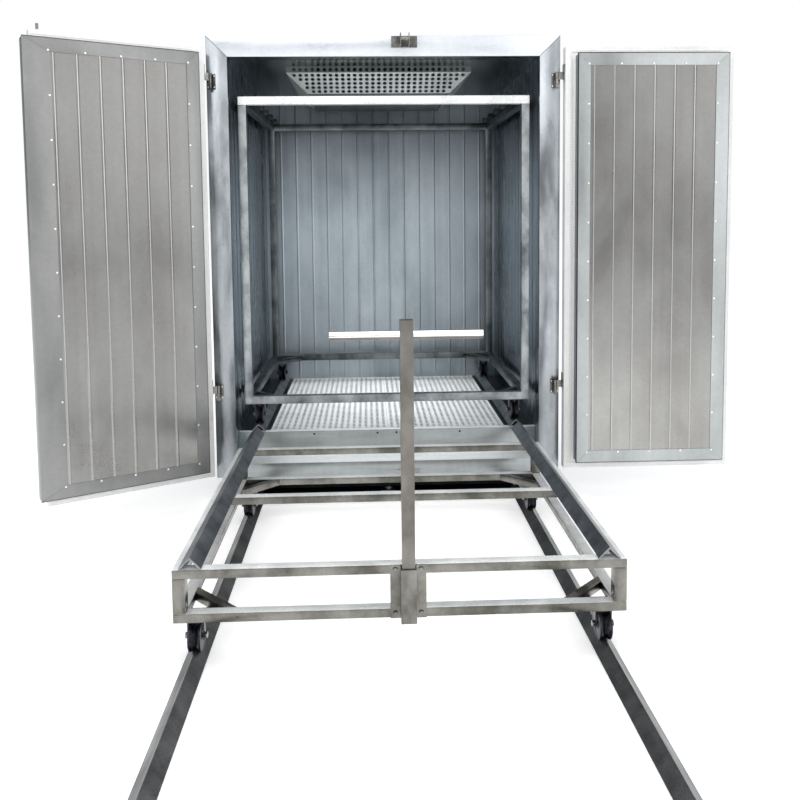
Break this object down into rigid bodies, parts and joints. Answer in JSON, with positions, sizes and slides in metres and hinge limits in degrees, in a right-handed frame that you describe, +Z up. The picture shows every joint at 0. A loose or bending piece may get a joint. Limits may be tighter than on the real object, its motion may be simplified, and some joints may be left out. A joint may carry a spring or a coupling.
{
  "type": "walk-in powder coating oven with load rack and transfer trolley",
  "caption": "Walk-in box oven with two hinged insulated doors, a ribbed chamber with rails and a perforated floor, a load rack, and a rail-guided transfer trolley.",
  "frame": {"origin": "on the ground under the middle levelling foot, below the cabinet's centre", "axes": "+Z up, +Y into the oven and away from the trolley, +X to the right for a person facing the doorway"},
  "size_m": [3.2069, 5.536, 2.26],
  "materials": {
    "galvanised_sheet": "galvanised steel sheet, satin",
    "dark_steel": "dark painted steel",
    "rolled_steel": "hot rolled angle, worn bright at the edge",
    "tube_steel": "galvanised square tube",
    "zinc_plated": "zinc plated",
    "woven_rope": "woven glass rope",
    "cast_wheel": "turned cast iron"
  },
  "bodies": {
    "cabinet": {"base_beams": "dark_steel", "levelling_feet": "dark_steel", "left_wall": "galvanised_sheet", "right_wall": "galvanised_sheet", "back_wall": "galvanised_sheet", "roof_panel": "galvanised_sheet", "floor_slab": "galvanised_sheet", "left_stile": "galvanised_sheet", "right_stile": "galvanised_sheet", "front_head": "galvanised_sheet", "sill": "galvanised_sheet", "floor_sheets_front": "galvanised_sheet", "floor_sheets_back": "galvanised_sheet", "rail_beds": "dark_steel", "floor_bearers": "dark_steel", "ceiling_duct": "galvanised_sheet", "chamber_rails": "rolled_steel", "latch_keepers": "zinc_plated", "frame_hinges": "zinc_plated", "ground_rails": "rolled_steel"},
    "left_door": {"left_door_leaf": "galvanised_sheet", "left_door_plug": "galvanised_sheet", "left_door_panel": "galvanised_sheet", "left_door_trim": "galvanised_sheet", "left_door_seal": "woven_rope", "left_door_hinges": "zinc_plated", "left_door_bolt": "zinc_plated"},
    "right_door": {"right_door_leaf": "galvanised_sheet", "right_door_plug": "galvanised_sheet", "right_door_panel": "galvanised_sheet", "right_door_trim": "galvanised_sheet", "right_door_seal": "woven_rope", "right_door_hinges": "zinc_plated", "right_door_latch": "zinc_plated"},
    "trolley": {"trolley_top_frame": "tube_steel", "trolley_bottom_frame": "tube_steel", "trolley_posts": "tube_steel", "trolley_braces": "tube_steel", "push_handle": "tube_steel", "handle_socket": "tube_steel", "trolley_forks": "zinc_plated", "trolley_rails": "rolled_steel"},
    "rack": {"rack_front_frame": "tube_steel", "rack_back_frame": "tube_steel", "rack_side_bars": "tube_steel", "rack_braces": "tube_steel", "rack_bar_seats": "tube_steel", "rack_forks": "zinc_plated"},
    "trolley_wheel_front_left": {"trolley_wheel_front_left": "cast_wheel"},
    "trolley_wheel_front_right": {"trolley_wheel_front_right": "cast_wheel"},
    "trolley_wheel_back_left": {"trolley_wheel_back_left": "cast_wheel"},
    "trolley_wheel_back_right": {"trolley_wheel_back_right": "cast_wheel"},
    "rack_wheel_front_left": {"rack_wheel_front_left": "cast_wheel"},
    "rack_wheel_front_right": {"rack_wheel_front_right": "cast_wheel"},
    "rack_wheel_back_left": {"rack_wheel_back_left": "cast_wheel"},
    "rack_wheel_back_right": {"rack_wheel_back_right": "cast_wheel"}
  },
  "joints": [
    {"name": "trolley_roll", "type": "slide", "parent": "cabinet", "child": "trolley", "axis": [0, -1, 0], "range_m": [0, 2.4]},
    {"name": "left_door_hinge", "type": "hinge", "parent": "cabinet", "child": "left_door", "pos_m": [-0.826, -0.805, 1.2], "axis": [0, 0, 1], "range_deg": [0, 150]},
    {"name": "right_door_hinge", "type": "hinge", "parent": "cabinet", "child": "right_door", "pos_m": [0.826, -0.805, 1.2], "axis": [0, 0, -1], "range_deg": [0, 180]},
    {"name": "rack_roll", "type": "slide", "parent": "cabinet", "child": "rack", "axis": [0, 1, 0], "range_m": [-1.59, 0]},
    {"name": "trolley_wheel_front_left_spin", "type": "hinge", "parent": "trolley", "child": "trolley_wheel_front_left", "pos_m": [-0.653, -2.248, 0.07432], "axis": [1, 0, 0], "range_deg": [0, 3241]},
    {"name": "trolley_wheel_front_right_spin", "type": "hinge", "parent": "trolley", "child": "trolley_wheel_front_right", "pos_m": [0.653, -2.248, 0.07432], "axis": [1, 0, 0], "range_deg": [0, 3241]},
    {"name": "trolley_wheel_back_left_spin", "type": "hinge", "parent": "trolley", "child": "trolley_wheel_back_left", "pos_m": [-0.653, -1.048, 0.07432], "axis": [1, 0, 0], "range_deg": [0, 3241]},
    {"name": "trolley_wheel_back_right_spin", "type": "hinge", "parent": "trolley", "child": "trolley_wheel_back_right", "pos_m": [0.653, -1.048, 0.07432], "axis": [1, 0, 0], "range_deg": [0, 3241]},
    {"name": "rack_wheel_front_left_spin", "type": "hinge", "parent": "rack", "child": "rack_wheel_front_left", "pos_m": [-0.653, -0.605, 0.39432], "axis": [-1, 0, 0], "range_deg": [-2149, 0]},
    {"name": "rack_wheel_front_right_spin", "type": "hinge", "parent": "rack", "child": "rack_wheel_front_right", "pos_m": [0.653, -0.605, 0.39432], "axis": [-1, 0, 0], "range_deg": [-2149, 0]},
    {"name": "rack_wheel_back_left_spin", "type": "hinge", "parent": "rack", "child": "rack_wheel_back_left", "pos_m": [-0.653, 0.525, 0.39432], "axis": [-1, 0, 0], "range_deg": [-2149, 0]},
    {"name": "rack_wheel_back_right_spin", "type": "hinge", "parent": "rack", "child": "rack_wheel_back_right", "pos_m": [0.653, 0.525, 0.39432], "axis": [-1, 0, 0], "range_deg": [-2149, 0]}
  ],
  "couplings": [
    {"joint": "left_door_hinge", "follows": "trolley_roll", "rad_per_m": 1.0908},
    {"joint": "right_door_hinge", "follows": "trolley_roll", "rad_per_m": 1.309},
    {"joint": "trolley_wheel_front_left_spin", "follows": "trolley_roll", "rad_per_m": 23.529},
    {"joint": "trolley_wheel_front_right_spin", "follows": "trolley_roll", "rad_per_m": 23.529},
    {"joint": "trolley_wheel_back_left_spin", "follows": "trolley_roll", "rad_per_m": 23.529},
    {"joint": "trolley_wheel_back_right_spin", "follows": "trolley_roll", "rad_per_m": 23.529},
    {"joint": "rack_wheel_front_left_spin", "follows": "rack_roll", "rad_per_m": 23.529},
    {"joint": "rack_wheel_front_right_spin", "follows": "rack_roll", "rad_per_m": 23.529},
    {"joint": "rack_wheel_back_left_spin", "follows": "rack_roll", "rad_per_m": 23.529},
    {"joint": "rack_wheel_back_right_spin", "follows": "rack_roll", "rad_per_m": 23.529}
  ]
}
